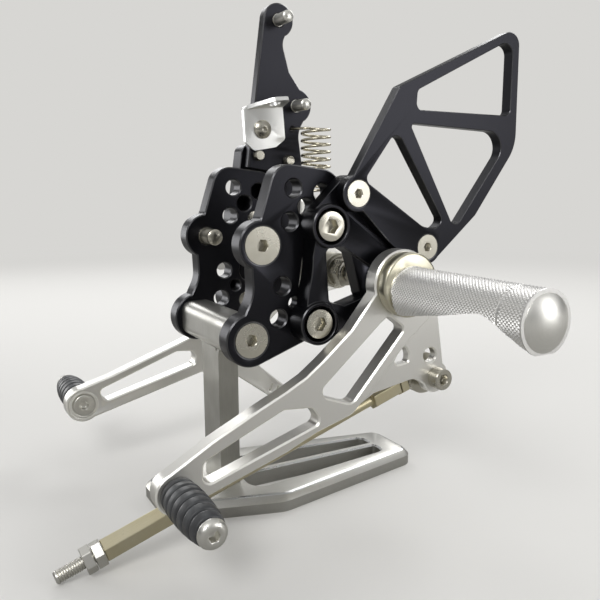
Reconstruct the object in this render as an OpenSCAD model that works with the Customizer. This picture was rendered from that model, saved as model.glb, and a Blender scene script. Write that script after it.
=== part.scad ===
// Adjustable rear set for a motorbike: a left and a right frame plate with step brackets,
// footpegs, a shift lever with its rod, a brake pedal with its inner arm, a heel guard and
// a bracket for the brake master cylinder, all held on a small aluminium display stand.
// The origin is on the ground, on the middle plane, straight under the pivot line.
// X points to the rear, Y to the right side and Z up.

/* [Stand] */
// Height of the pivot line above the ground
pivot_h = 108; // [107:0.5:110]
// Thickness of the base plate
base_t = 8; // [7:0.5:9]
// Half width of the base plate at its widest place
base_half_w = 35; // [33:0.5:38]
// How far the base reaches in front of the pivot
base_front = 99.5; // [97:0.5:104]
// How far the base reaches behind the pivot
base_rear = 41; // [38:0.5:46]
// Bevel along the top edge of the base
base_bevel = 3; // [2:0.5:3.5]
// Width of the upright post, across the machine
post_w = 20; // [18:0.5:22]
// Depth of the upright post, fore and aft
post_d = 10; // [9:0.5:11]
// Radius of the crossbar
bar_r = 9; // [8.5:0.5:10]

/* [Frame plates] */
// Backward lean of the plates and brackets in degrees
plate_lean = 8; // [7:0.5:9]
// Distance from the middle plane to the inner face of a plate
plate_in = 28; // [27:0.5:30]
// Thickness of a frame plate
plate_t = 9; // [8.5:0.5:10]
// Distance between neighbouring holes of the adjusting pattern
hole_pitch = 14.5; // [14.25:0.25:14.75]
// Distance between the upper and the lower hole pattern
group_drop = 43; // [42.5:0.5:43.5]

/* [Step brackets] */
// Thickness of a step bracket
bracket_t = 10; // [9.5:0.5:11]
// Height of the screw bosses above the bracket
boss_h = 2; // [1.5:0.5:2.5]
// Radius of the screw bosses
boss_r = 9.5; // [9:0.25:10]
// Radius of the bracket hub
hub_r = 15; // [14.5:0.5:15.5]
// Thickness of the heel guard
guard_t = 6; // [5:0.5:6.5]
// Depth of the seat that the heel guard lies in
guard_seat = 2; // [1.5:0.5:2.5]

/* [Levers] */
// Thickness of the shift lever and of the brake pedal
lever_t = 8; // [7.5:0.5:9]
// Radius of the lever hubs
lever_hub_r = 15.4; // [15.2:0.2:17]
// Space between the heel guard and the shift lever
lever_gap = 1; // [0.75:0.25:2]
// Radius of the toe ends of both levers
toe_end_r = 9; // [8.5:0.5:9.5]
// Length of the rubber toe pieces
toe_len = 35; // [32:0.5:38]
// Radius of the rubber toe pieces
toe_r = 8; // [7.5:0.25:8.5]
// Thickness of the inner brake arm
arm_t = 6; // [5:0.5:6.5]

/* [Footpegs] */
// Length of a footpeg without its end cap
peg_len = 75; // [72:0.5:85]
// Radius of a footpeg at its ends
peg_r = 12.3; // [12:0.1:12.6]
// Thickness of the ring between lever hub and footpeg
ring_t = 6; // [5.5:0.5:7]
// Radius of that ring
ring_r = 14.5; // [14:0.25:15]

/* [Shift rod] */
// Distance from the ball to the tip of the threaded stud
rod_len = 185.3; // [180:0.5:188]
// Downward slope of the rod to the front in degrees
rod_slope = 18.24; // [18:0.02:18.3]
// Radius of the rod between its hexagon ends
rod_r = 2.9; // [2.7:0.1:3.2]
// Width across the flats of the hexagon ends
rod_flats = 9; // [8.5:0.5:9.5]

/* [Return spring] */
// Outer radius of the coil
coil_r = 8; // [7.5:0.25:8.25]
// Radius of the wire
wire_r = 0.7; // [0.6:0.05:0.8]
// Number of turns
coil_turns = 9; // [8:1:10]

/* [Fits] */
// Radial play of a turning fit
run_play = 0.05; // [0.03:0.01:0.08]
// Side play of a turning piece
side_play = 0.2; // [0.15:0.05:0.3]

/* [Hidden] */
$fn = 64;
// Radii of the metric threads
m8 = 4;
m6 = 3;
m5 = 2.5;
// Stations across the machine, counted outward from the middle plane
plate_out = plate_in + plate_t;
bracket_out = plate_out + bracket_t;
guard_in = bracket_out - guard_seat;
guard_out = guard_in + guard_t;
lever_in = max(guard_out, bracket_out + boss_h) + lever_gap;
lever_out = lever_in + lever_t;
peg_in = lever_out + ring_t;
peg_out = peg_in + peg_len;
hub_face = lever_in - side_play;
// Screw places in the leaning plane of the plates, pivot at 0, 0
hole_s = [-34, group_drop / 2];
hole_t = [-34, -group_drop / 2];
hole_u = [-60.3, 9.8];
hole_l = [-60.4, -31.9];
hole_g = [-23.7, 37];
hole_g2 = [18.3, 17.4];
stud_1 = [-31.7, 124.6];
stud_2 = [-15.6, 83.7];
tie_1 = [-35, 54.5];
tie_2 = [-17, 54.5];
// Adjusting holes of one group, counted from its bracket screw
pattern = [[0, 1], [-1, 1], [-1, 0]];
// The same places in the upright frame
function up_x(p) = p[0] * cos(plate_lean) + p[1] * sin(plate_lean);
function up_z(p) = pivot_h - p[0] * sin(plate_lean) + p[1] * cos(plate_lean);
bar_x = up_x(hole_l);
bar_z = up_z(hole_l);
// Toe places and link place of the levers in the upright frame, pivot at 0, 0
shift_toe = [-108, -75];
brake_toe = [-119.3, -68.6];
link_at = [22.5, -47];
// Inner end of the brake shaft and the inner arm
shaft_end = -6.3;
arm_in = 12;
spring_pin_at = [-7, 34];
push_at = [23, -3];
pin_r = 2;
pin_len = 7;
spring_x = -1.3;
spring_y = arm_in + 3;
spring_low = 39;
spring_top = 73;
mid_r = coil_r - wire_r;
// Parts of the rod, counted from the ball along its length
ball_r = 6.35;
ball_half = 4.5;
eye_r = 10;
eye_half = 3.4;
rod_y = lever_in - 7;
rod_jam = 11.2;
rod_hex = 15.5;
rod_round = 31;
rod_hex_2 = 136;
rod_locks = 165;
lock_h = 4;
peg_drop = 3.7;
toe_bore = 3;

// Outline with rounded corners: each corner is [across, up, radius], listed anticlockwise
function unit(v) = v / norm(v);
function at(p, i) = p[(i + len(p)) % len(p)];
function flat(q) = [q[0], q[1]];
function back(p, i) = unit(flat(at(p, i - 1)) - flat(at(p, i)));
function ahead(p, i) = unit(flat(at(p, i + 1)) - flat(at(p, i)));
function half(p, i) = acos(back(p, i) * ahead(p, i)) / 2;
function run(p, i) = at(p, i)[2] / tan(half(p, i));
function entry(p, i) = flat(at(p, i)) + run(p, i) * back(p, i);
function leave(p, i) = flat(at(p, i)) + run(p, i) * ahead(p, i);
function middle(p, i) = flat(at(p, i)) + at(p, i)[2] / sin(half(p, i)) * unit(back(p, i) + ahead(p, i));
function inner(p, i) = (entry(p, i) + leave(p, i)) / 2 + 0.5 * unit(back(p, i) + ahead(p, i));
function outward(p, i) = cross(ahead(p, i), back(p, i)) > 0;

module corner(p, i) {
  intersection() {
    translate(middle(p, i)) circle(r = at(p, i)[2] + 0.003);
    polygon([entry(p, i), flat(at(p, i)), leave(p, i), inner(p, i)]);
  }
}

module outline(p) {
  difference() {
    union() {
      polygon([for (i = [0:len(p) - 1]) each at(p, i)[2] > 0 ? [entry(p, i), leave(p, i)] : [flat(at(p, i))]]);
      for (i = [0:len(p) - 1]) if (at(p, i)[2] > 0 && outward(p, i)) corner(p, i);
    }
    for (i = [0:len(p) - 1]) if (at(p, i)[2] > 0 && !outward(p, i)) corner(p, i);
  }
}

// Bar with two round ends of different size
module bar(a, ra, b, rb) {
  d = norm(b - a);
  u = (b - a) / d;
  n = [-u[1], u[0]];
  s = (ra - rb) / d;
  c = sqrt(1 - s * s);
  translate(a) circle(r = ra);
  translate(b) circle(r = rb);
  polygon([a + ra * (s * u + c * n), a + ra * (s * u - c * n), b + rb * (s * u - c * n),
    b + rb * (s * u + c * n)]);
}

module disc_at(p, r) {
  translate(p) circle(r = r);
}

// Flat piece that stands across the machine, from station y0 to y1
module slab(y0, y1) {
  translate([0, y1, 0]) rotate([90, 0, 0]) linear_extrude(height = y1 - y0) children();
}

// Round bar across the machine at place p, from station y0 to y1
module pin(p, y0, y1, r) {
  translate([p[0], y0, p[1]]) rotate([-90, 0, 0]) cylinder(h = y1 - y0, r = r);
}

// Cone across the machine at place p
module taper(p, y0, y1, r0, r1) {
  translate([p[0], y0, p[1]]) rotate([-90, 0, 0]) cylinder(h = y1 - y0, r1 = r0, r2 = r1);
}

// Hexagon bar across the machine, width across the flats given
module hex_bar(p, y0, y1, flats) {
  translate([p[0], y0, p[1]]) rotate([-90, 0, 0]) cylinder(h = y1 - y0, d = flats / cos(30), $fn = 6);
}

// The leaning plane of the plates
module leaning() {
  translate([0, 0, pivot_h]) rotate([0, plate_lean, 0]) children();
}

// The upright plane of the levers
module upright() {
  translate([0, 0, pivot_h]) children();
}

module left_side() {
  mirror([0, 1, 0]) children();
}

// Screw with a sunk flat head: the head's face is at station y, the point is inward
module sunk_screw(p, y, length, r) {
  difference() {
    union() {
      taper(p, y - r, y, r, 2 * r);
      pin(p, y - length, y - r, r);
    }
    hex_bar(p, y - r, y + 1, r * 1.2);
  }
}

module sunk_hole(p, y0, y, r) {
  pin(p, y0, y, r);
  taper(p, y - r, y, r, 2 * r);
}

// Screw with a round head and a hexagon socket: the head sits on station y
module cap_screw(p, y, head_r, head_h, tip, r) {
  difference() {
    union() {
      pin(p, y, y + head_h, head_r);
      pin(p, tip, y, r);
    }
    hex_bar(p, y + head_h * 0.45, y + head_h + 1, r * 1.5);
  }
}

module nut(p, y0, y1, flats, r) {
  difference() {
    hex_bar(p, y0, y1, flats);
    pin(p, y0 - 1, y1 + 1, r);
  }
}

// Stand
base_shape = [[-base_front, -19, 8], [-47, -base_half_w, 12], [base_rear, -17.5, 8],
  [base_rear, 17.5, 8], [-47, base_half_w, 12], [-base_front, 19, 8]];

// The same outline drawn in by d on every side, near enough for a bevel
function drawn_in(p, d) = [for (q = p) [q[0] - sign(q[0] + 29) * d * 0.9, q[1] - sign(q[1]) * d * 0.95,
  max(q[2] - d, 1)]];

module base_window() {
  outline([[-56, 2, 1.9], [26, 2, 1.9], [26, 11, 5], [-56, 20.5, 7]]);
}

module stand_base() {
  color("silver") difference() {
    hull() {
      linear_extrude(height = base_t - base_bevel, $fn = 32) outline(base_shape);
      linear_extrude(height = base_t, $fn = 32) outline(drawn_in(base_shape, base_bevel));
    }
    translate([0, 0, -1]) linear_extrude(height = base_t + 2) base_window();
    translate([0, 0, -1]) linear_extrude(height = base_t + 2) mirror([0, 1]) base_window();
    for (s = [-1, 1]) translate([bar_x, s * 6, 0]) {
      cylinder(h = m6, r1 = 2 * m6, r2 = m6);
      cylinder(h = base_t + 1, r = m6);
    }
  }
}

module stand_post() {
  color("lightgray") difference() {
    union() {
      translate([bar_x - post_d / 2, -post_w / 2, base_t]) cube([post_d, post_w, bar_z - base_t]);
      pin([bar_x, bar_z], -plate_in, plate_in, bar_r);
      for (s = [-1, 1]) post_fillet(s);
    }
    pin([bar_x, bar_z], -plate_in - 1, -plate_in + 16, m8);
    pin([bar_x, bar_z], plate_in - 16, plate_in + 1, m8);
    for (s = [-1, 1]) translate([bar_x, s * 6, base_t - 1]) cylinder(h = 15, r = m6);
    translate([bar_x - post_d / 2 - 1, -post_w / 2 + 2.5, 76]) rotate([0, 90, 0]) cylinder(h = 3, r = 1.2);
  }
}

// Rounded inside corner where the post meets the crossbar
module post_fillet(s) {
  difference() {
    translate([bar_x - post_d / 2, s > 0 ? post_w / 2 - 1 : -post_w / 2 - 5, bar_z - bar_r - 3])
      cube([post_d, 6, 6]);
    translate([bar_x - post_d / 2 - 1, s * (post_w / 2 + 5), bar_z - bar_r - 3.5]) rotate([0, 90, 0])
      cylinder(h = post_d + 2, r = 5);
  }
}

module stand_base_screws() {
  color("gray") for (s = [-1, 1]) translate([bar_x, s * 6, 0]) difference() {
    union() {
      cylinder(h = m6, r1 = 2 * m6, r2 = m6);
      cylinder(h = base_t + 12, r = m6);
    }
    translate([0, 0, -1]) cylinder(h = 3, d = 4 / cos(30), $fn = 6);
  }
}

// Frame plates
module plate_shape() {
  union() {
    outline([[-55, -42.6, 1], [-33.5, -31.5, 1], [-24, -31.5, 9], [-24, -11.5, 9], [-39.8, -11.5, 6],
      [-39.8, 11, 6], [-23.5, 11, 9], [-23.5, 46.5, 10.4], [-58.2, 46, 9.4], [-62.4, 22, 4],
      [-66, 10, 1], [-62, -12, 14], [-68, -30, 1]]);
    disc_at(hole_s, 10.5);
    disc_at(hole_t, 10);
    disc_at(hole_u, 11);
    disc_at(hole_l, 12);
  }
}

module frame_plate() {
  color("dimgray") leaning() difference() {
    slab(plate_in, plate_out) plate_shape();
    for (c = [hole_s, hole_t]) {
      pin(c, plate_in - 1, plate_out + 1, m8);
      for (q = pattern) pin(c + hole_pitch * q, plate_in - 1, plate_out + 1, m8);
    }
    pin(hole_s + hole_pitch * [-0.5, 0.5], plate_in - 1, plate_out + 1, m8);
    pin(hole_t + hole_pitch * [-0.5, 0.5], plate_in - 1, plate_out + 1, 2.9);
    sunk_hole(hole_u, plate_in - 1, plate_out, m8 + 0.2);
    sunk_hole(hole_l, plate_in - 1, plate_out, m8);
  }
}

module left_frame_plate() left_side() frame_plate();
module right_frame_plate() frame_plate();

module crossbar_screws() {
  color("lightgray") leaning() sunk_screw(hole_l, plate_out, plate_t + 14, m8);
  color("lightgray") left_side() leaning() sunk_screw(hole_l, plate_out, plate_t + 14, m8);
}

module frame_screw() {
  sunk_screw(hole_u, plate_out, plate_t, m8 + 0.2);
  pin(hole_u, plate_in - 12, plate_in, m8);
}
module frame_screws() {
  color("lightgray") leaning() frame_screw();
  color("lightgray") left_side() leaning() frame_screw();
}

// Step brackets
module bracket_shape() {
  difference() {
    union() {
      bar(hole_s, boss_r, [0, 0], hub_r);
      bar(hole_t, boss_r, [0, 0], hub_r);
      polygon([hole_s, hole_s - [6.5, 0], hole_t - [6.5, 0], hole_t, [0, 0]]);
    }
    difference() {
      outline([[-29.4, -12.2, 3], [-21.5, -12.9, 0], [-6, -6.2, 0], [-6, 4.1, 0], [-25.5, 12.9, 0],
        [-34.6, 12.2, 3]]);
      disc_at([0, 0], hub_r - 3.5);
      disc_at(hole_s, boss_r);
      disc_at(hole_t, boss_r);
    }
    disc_at([-98, 0], 58);
  }
}

module bracket_screw_holes() {
  for (c = [hole_s, hole_t]) {
    pin(c, plate_out - 1, bracket_out + boss_h + 1, m8);
    pin(c, bracket_out + boss_h - 8, bracket_out + boss_h + 1, 7.9);
  }
}

module left_step_bracket() {
  color("dimgray") left_side() leaning() difference() {
    union() {
      slab(plate_out, bracket_out) bracket_shape();
      slab(plate_out, guard_in) union() {
        bar(hole_s, boss_r, hole_g, 8);
        bar(hole_g, 8, [0, 0], hub_r - 1);
        bar(hole_g2, 8, [0, 0], hub_r - 1);
        polygon([hole_s, hole_g, [0, 0]]);
      }
      for (c = [hole_s, hole_t]) pin(c, bracket_out - 1, bracket_out + boss_h, boss_r);
      pin([0, 0], plate_out, hub_face, hub_r - 3.5);
    }
    bracket_screw_holes();
    slab(guard_in, guard_out + 1) guard_outer();
    pin([0, 0], plate_out - 1, hub_face + 1, m8);
    for (c = [hole_g, hole_g2]) pin(c, plate_out - 1, guard_in + 1, m6);
  }
}

module right_step_bracket() {
  color("dimgray") leaning() difference() {
    union() {
      slab(plate_out, bracket_out) bracket_shape();
      slab(plate_out, bracket_out) outline([[0, 8, 1], [-4, 40, 12], [-8.5, 62, 5], [-42, 60, 5],
        [-42, 22, 3], [-30, 16, 1]]);
      for (c = [hole_s, hole_t]) pin(c, bracket_out - 1, bracket_out + boss_h, boss_r);
      pin([0, 0], plate_out, hub_face, 14.5);
    }
    bracket_screw_holes();
    pin([0, 0], plate_out - 1, hub_face + 1, 11);
    for (c = [tie_1, tie_2]) pin(c, plate_out - 1, bracket_out + 1, m5);
  }
}

module bracket_screw(c) {
  cap_screw(c, bracket_out + boss_h - 8, 6.5, 7.6, plate_in + 0.5, m8);
}

module bracket_screws() {
  color("lightgray") leaning() for (c = [hole_s, hole_t]) bracket_screw(c);
  color("lightgray") left_side() leaning() for (c = [hole_s, hole_t]) bracket_screw(c);
}

// Heel guard
module guard_outer() {
  union() {
    outline([[24.1, 12.2, 0], [45.1, 35.3, 0], [65, 71.1, 20], [56.7, 127.3, 6], [-9, 86, 3],
      [-30, 38, 0], [-26, 34, 0], [-1.5, 15.7, 10], [15.9, 10, 0]]);
    disc_at(hole_g, 8);
    disc_at(hole_g2, 8);
  }
}

module heel_guard() {
  color("dimgray") left_side() leaning() difference() {
    slab(guard_in, guard_out) difference() {
      guard_outer();
      outline([[1.6, 77.7, 3], [58.2, 85.1, 3], [53.4, 120.9, 5], [1, 86.3, 3]]);
      outline([[33.3, 27, 3.5], [62, 77.3, 8], [-1, 71.3, 1.5]]);
      outline([[14, 26.5, 8], [21.5, 26.2, 3], [25.3, 30.5, 3], [-7.7, 67.4, 4], [-21.4, 43.2, 3]]);
    }
    for (c = [hole_g, hole_g2]) sunk_hole(c, guard_in - 1, guard_out, m6);
  }
}

module guard_screws() {
  color("lightgray") left_side() leaning() for (c = [hole_g, hole_g2]) sunk_screw(c, guard_out, guard_t + 7, m6);
}

// Footpegs: a round bar off the pivot line, scooped from below, with a flange at its root
module peg_round(y0, y1, r) {
  pin([0, -peg_drop], y0, y1, r);
}

module footpeg() {
  color("gainsboro") upright() difference() {
    union() {
      intersection() {
        pin([0, 0], peg_in, peg_in + 20, 12.2);
        translate([-15, peg_in, -15]) cube([30, 20, 15 + peg_r - peg_drop]);
      }
      peg_round(peg_in, peg_out, peg_r);
    }
    translate([-20, peg_in, 0]) rotate([90, 0, 90]) linear_extrude(height = 40)
      polygon([[-1, -30], [-1, -12.3], [6, -11.9], [19.4, -9.5], [32.2, -7.1], [peg_len - 33.1, -5],
        [peg_len - 25, -3.2], [peg_len - 21, -2.7], [peg_len - 18, -3.1], [peg_len - 15, -4.2],
        [peg_len - 11.5, -5.9], [peg_len - 5.7, -9.5], [peg_len - 1, -13.5], [peg_len + 1.5, -17.2],
        [peg_len + 1.5, -30]]);
    pin([0, 0], peg_in - 1, peg_in + 24, m8);
    peg_round(peg_out - 10, peg_out + 1, m8);
    difference() {
      peg_round(peg_out - 13, peg_out - 11.5, peg_r + 1);
      peg_round(peg_out - 14, peg_out - 11, peg_r - 0.6);
    }
  }
}

module left_footpeg() left_side() footpeg();
module right_footpeg() footpeg();

module end_cap() {
  peg_round(peg_out - 8, peg_out, m8);
  intersection() {
    translate([0, peg_out + 3.5 - 19, -peg_drop]) sphere(r = 19);
    peg_round(peg_out, peg_out + 4, 10.8);
  }
}

module footpeg_end_caps() {
  color("whitesmoke") upright() end_cap();
  color("whitesmoke") left_side() upright() end_cap();
}

// Pivots
module left_pivot_bolt() {
  color("silver") left_side() upright() pin([0, 0], plate_out - 11, peg_in + 22, m8);
}

module right_pivot_bolt() {
  color("silver") upright() pin([0, 0], shaft_end - side_play - 11, peg_in + 22, m8);
}

module pivot_washer(y) {
  difference() {
    pin([0, 0], y - 1.5, y, 8);
    pin([0, 0], y - 2, y + 1, m8);
  }
}

module pivot_washers() {
  color("silver") left_side() upright() pivot_washer(plate_out);
  color("silver") upright() pivot_washer(shaft_end - side_play);
}

// Lock nut: hexagon with a round collar on its inner end
module lock_nut(y) {
  difference() {
    union() {
      hex_bar([0, 0], y - 6.5, y, 13);
      taper([0, 0], y - 8, y - 6.5, 5.2, 6.1);
    }
    pin([0, 0], y - 9, y + 1, m8);
  }
}

module pivot_nuts() {
  color("silver") left_side() upright() lock_nut(plate_out - 1.5);
  color("silver") upright() lock_nut(shaft_end - side_play - 1.5);
}

module left_pivot_sleeve() {
  color("silver") left_side() upright() difference() {
    pin([0, 0], hub_face, lever_out + side_play, 9);
    pin([0, 0], hub_face - 1, lever_out + side_play + 1, m8);
  }
}

module right_spacer_tube() {
  color("silver") upright() difference() {
    pin([0, 0], shaft_end - side_play, peg_in, 6);
    pin([0, 0], shaft_end - side_play - 1, peg_in + 1, m8);
  }
}

module shaft_bush() {
  color("darkgoldenrod") upright() difference() {
    pin([0, 0], plate_out, hub_face, 11);
    pin([0, 0], plate_out - 1, hub_face + 1, 9 + run_play);
  }
}

module pivot_ring(r) {
  difference() {
    pin([0, 0], lever_out + side_play, peg_in, ring_r);
    pin([0, 0], lever_out, peg_in + 1, r);
  }
}

module pivot_rings() {
  color("tan") upright() pivot_ring(6);
  color("tan") left_side() upright() pivot_ring(m8);
}

// Bracket of the master cylinder and the plate for the lamp switch
module master_bracket() {
  color("dimgray") leaning() difference() {
    slab(plate_out - 6, plate_out) union() {
      outline([[-40.2, 47.2, 1], [-8.2, 47.2, 2], [-8.2, 54, 6], [-12.8, 70, 12], [-9, 79.5, 1],
        [-16, 84, 1], [-20.5, 96.5, 10], [-28.2, 113.8, 8], [-25, 123, 1], [-40.2, 124.6, 1]]);
      disc_at(stud_1, 8.5);
      disc_at(stud_2, 9);
      bar(stud_2, 7, [-29, 100], 5);
    }
    for (c = [stud_1, stud_2]) pin(c, plate_out - 7, plate_out + 1, m6 + 0.2);
    for (c = [tie_1, tie_2]) pin(c, plate_out - 7, plate_out + 1, m5);
    pin([-35.1, 67.9], plate_out - 7, plate_out + 1, 2);
    pin([-16.5, 71.5], plate_out - 7, plate_out + 1, wire_r + 0.4);
  }
}

module master_studs() {
  color("lightgray") leaning() for (c = [stud_1, stud_2]) {
    cap_screw(c, plate_out, 5, 4, plate_out - 6, m6 + 0.2);
    pin(c, plate_out - 17, plate_out - 6, m6);
  }
}

module master_bracket_screws() {
  color("lightgray") leaning() for (c = [tie_1, tie_2]) cap_screw(c, bracket_out, 4.25, 3.8, plate_in, m5);
}

switch_face = plate_out - 6;

module switch_plate() {
  color("whitesmoke") leaning() difference() {
    union() {
      slab(switch_face - 2, switch_face) outline([[-43.8, 59.7, 2], [-38.3, 56.4, 2], [-26.2, 60.1, 2],
        [-21.2, 65.1, 2], [-25.2, 82.7, 1], [-47.5, 77.3, 2]]);
      translate([-47.5, switch_face, 77.3]) rotate([0, -13.6, 0]) translate([0, 0, -2.2]) rotate([-16, 0, 0])
        linear_extrude(height = 2) outline([[2, -0.6, 0.2], [2, -3, 0.2], [14, -12.5, 4], [22.9, -12.5, 3],
        [22.9, -0.6, 0.2]]);
    }
    pin([-35.1, 67.9], switch_face - 3, switch_face + 1, 2);
    translate([-47.5, switch_face, 77.3]) rotate([0, -13.6, 0]) rotate([-16, 0, 0])
      translate([15.5, -7.5, -6]) cylinder(h = 12, r = 3);
  }
}

module switch_plate_screw() {
  color("lightgray") leaning() difference() {
    union() {
      intersection() {
        translate([-35.1, switch_face + 2.6, 67.9]) sphere(r = 7.2);
        pin([-35.1, 67.9], switch_face - 5, switch_face - 2, 4.75);
      }
      pin([-35.1, 67.9], switch_face - 2, switch_face + 6, 2);
    }
    hex_bar([-35.1, 67.9], switch_face - 6, switch_face - 3, 2.5);
  }
}

// Return spring: a coil with a hook round the pin of the brake arm and an end in the bracket
coil_steps = coil_turns * 20;
function coil_point(i) = let (a = 90 + i * 18) [spring_x + mid_r * cos(a), spring_y + mid_r * sin(a),
  spring_low + (spring_top - spring_low) * i / coil_steps];
hook_r = pin_r + wire_r + 0.15;
hook_y = spring_y + mid_r;
bracket_end = [up_x([-16.5, 71.5]), plate_out - 1, up_z([-16.5, 71.5]) - pivot_h];
hook_path = [for (a = [-150:20:10]) [spring_pin_at[0] + hook_r * cos(a), hook_y, spring_pin_at[1] + hook_r * sin(a)]];
spring_path = concat(hook_path, [[spring_pin_at[0] + hook_r + 0.8, hook_y, spring_low - 2]],
  [for (i = [0:coil_steps]) coil_point(i)],
  [[spring_x - 2.5, hook_y + 1.5, spring_top], [bracket_end[0], plate_out - 8, bracket_end[2]], bracket_end]);
function way(k) = unit(spring_path[min(k + 1, len(spring_path) - 1)] - spring_path[max(k - 1, 0)]);
function side(k) = let (w = way(k)) unit(abs(w[2]) > 0.8 ? cross(w, [0, 1, 0]) : cross(w, [0, 0, 1]));
function ring_point(k, j) = let (s = side(k), w = way(k)) spring_path[k]
  + wire_r * (cos(j * 60) * s + sin(j * 60) * cross(w, s));

module return_spring() {
  n = len(spring_path);
  points = [for (k = [0:n - 1]) for (j = [0:5]) ring_point(k, j)];
  walls = [for (k = [0:n - 2]) for (j = [0:5]) [k * 6 + j, k * 6 + (j + 1) % 6, k * 6 + 6 + (j + 1) % 6,
    k * 6 + 6 + j]];
  ends = [[5, 4, 3, 2, 1, 0], [for (j = [0:5]) (n - 1) * 6 + j]];
  color("silver") upright() polyhedron(points = points, faces = concat(walls, ends), convexity = 10);
}

// Shift lever
module shift_shape() {
  t = shift_toe;
  difference() {
    union() {
      outline([[t[0] - 1, t[1] - 8.7, 0], [t[0] + 11.5, t[1] - 4.2, 0], [-59.1, -67.5, 0], [-45, -61.6, 0],
        [-26.5, -56.4, 8], [-11, -41.6, 0], [3.1, -27, 0], [15.5, -17.2, 0], [12, 0, 0], [-8, 6, 0],
        [-14.6, -3, 0], [-27.4, -18.3, 0], [-35, -24.6, 0], [-41.5, -30, 0], [-50, -36.2, 0], [-60, -41.3, 0],
        [-72, -46.6, 0], [-93, -56.5, 0], [t[0] - 4, t[1] + 7.9, 0]]);
      disc_at(t, toe_end_r);
      disc_at([0, 0], lever_hub_r);
    }
    outline([[-97.2, -74.6, 3], [-42, -57.2, 3], [-47, -50, 4], [-60.5, -48.8, 4], [-96.9, -64.3, 3.5]]);
    outline([[-27, -51.6, 4], [1.5, -20.4, 2.5], [-7.5, -13.8, 3], [-12, -17, 1], [-45, -45, 3.5]]);
  }
}

module shift_arm_shape() {
  difference() {
    union() {
      outline([[22, -54, 0], [28, -47, 0], [27.3, -42.8, 0], [23.3, -18.2, 0], [15, 3, 0], [4, 0, 0],
        [3.2, -20, 0], [-24.5, -52.8, 0], [-33, -57.2, 0], [-32, -58.2, 0], [-12.8, -49.6, 4],
        [10, -45.8, 8]]);
      disc_at(link_at, 7.5);
    }
    outline([[-2.6, -38.2, 1.5], [6, -37.6, 2], [6.2, -33.5, 3], [3, -28, 2]]);
    disc_at([18.6, -35.8], 3.5);
  }
}

module shift_lever() {
  color("gainsboro") left_side() upright() difference() {
    union() {
      slab(lever_in, lever_out) shift_shape();
      slab(lever_in, lever_out - 3) shift_arm_shape();
    }
    pin([0, 0], lever_in - 1, lever_out + 1, 11);
    pin(shift_toe, lever_in - 1, lever_out + 1, toe_bore);
    pin(shift_toe, lever_in - 1, lever_in + 0.6, 6.8);
    pin(link_at, lever_in - 1, lever_out + 1, m6);
  }
}

module lever_bush() {
  color("darkgoldenrod") left_side() upright() difference() {
    pin([0, 0], lever_in, lever_out, 11);
    pin([0, 0], lever_in - 1, lever_out + 1, 9 + run_play);
  }
}

// Toe piece: a screw through the lever with an end button, and a ribbed rubber sleeve
module toe_screw(p) {
  difference() {
    union() {
      pin(p, lever_in - 0.7, lever_in + 0.6, 5.4);
      pin(p, lever_in + 0.6, lever_out, toe_bore);
      pin(p, lever_out, lever_out + toe_len, 4);
      pin(p, lever_out + toe_len, lever_out + toe_len + 1, 5.75);
      taper(p, lever_out + toe_len + 1, lever_out + toe_len + 2.2, 5.75, 5);
      taper(p, lever_out + toe_len + 2.2, lever_out + toe_len + 3, 5, 3.7);
    }
    hex_bar(p, lever_out + toe_len - 1, lever_out + toe_len + 4, 4);
    hex_bar(p, lever_in - 2, lever_in + 1.8, 4);
  }
}

function toe_width(t) = toe_r - 2.2 * pow(abs(t - 0.38) / 0.62, 2.2);

module toe_rubber(p) {
  pitch = toe_len / 7;
  translate([p[0], lever_out, p[1]]) rotate([-90, 0, 0]) rotate_extrude()
    polygon(concat([[4, 0]], [for (k = [0:6]) each [[toe_width(k / 7) - 0.25, k * pitch],
      [toe_width((k + 0.1) / 7), (k + 0.1) * pitch], [toe_width((k + 0.74) / 7), (k + 0.74) * pitch],
      [toe_width((k + 0.8) / 7) - 1, (k + 0.82) * pitch], [toe_width((k + 0.92) / 7) - 1, (k + 0.94) * pitch]]],
      [[4, toe_len]]));
}

module shift_toe_screw() {
  color("silver") left_side() upright() toe_screw(shift_toe);
}

module shift_toe_rubber() {
  color("darkslategray") left_side() upright() toe_rubber(shift_toe);
}

// Link between the lever and the rod
module link_screw() {
  color("lightgray") left_side() upright() cap_screw(link_at, lever_out - 3, 5, 6, rod_y - ball_half - 6.5, m6);
}

module link_spacer() {
  color("silver") left_side() upright() difference() {
    pin(link_at, rod_y + ball_half, lever_in, 4.5);
    pin(link_at, rod_y, lever_in + 1, m6);
  }
}

module link_nut() {
  color("lightgray") left_side() upright() nut(link_at, rod_y - ball_half - 5, rod_y - ball_half, 10, m6);
}

module rod_ball() {
  color("silver") left_side() upright() translate([link_at[0], rod_y, link_at[1]]) rotate([90, 0, 0])
    rotate_extrude() intersection() {
      circle(r = ball_r);
      translate([m6, -ball_half]) square([ball_r, 2 * ball_half]);
    }
}

// The rod's own line: its first axis runs from the ball down to the front
module along_rod() {
  left_side() upright() translate([link_at[0], rod_y, link_at[1]]) rotate([0, -rod_slope, 0])
    rotate([0, -90, 0]) children();
}

module rod_end() {
  color("silver") along_rod() {
    rotate([90, 0, 0]) rotate_extrude() difference() {
      translate([4.9, -eye_half]) square([eye_r - 4.9, 2 * eye_half]);
      circle(r = ball_r + run_play);
    }
    translate([0, 0, eye_r - 1.5]) cylinder(h = rod_round - 6 - eye_r + 1.5, r = m6);
  }
}

module rod_jam_nut() {
  color("khaki") along_rod() translate([0, 0, rod_jam]) difference() {
    cylinder(h = lock_h, d = 10 / cos(30), $fn = 6);
    translate([0, 0, -1]) cylinder(h = lock_h + 2, r = m6);
  }
}

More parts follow.
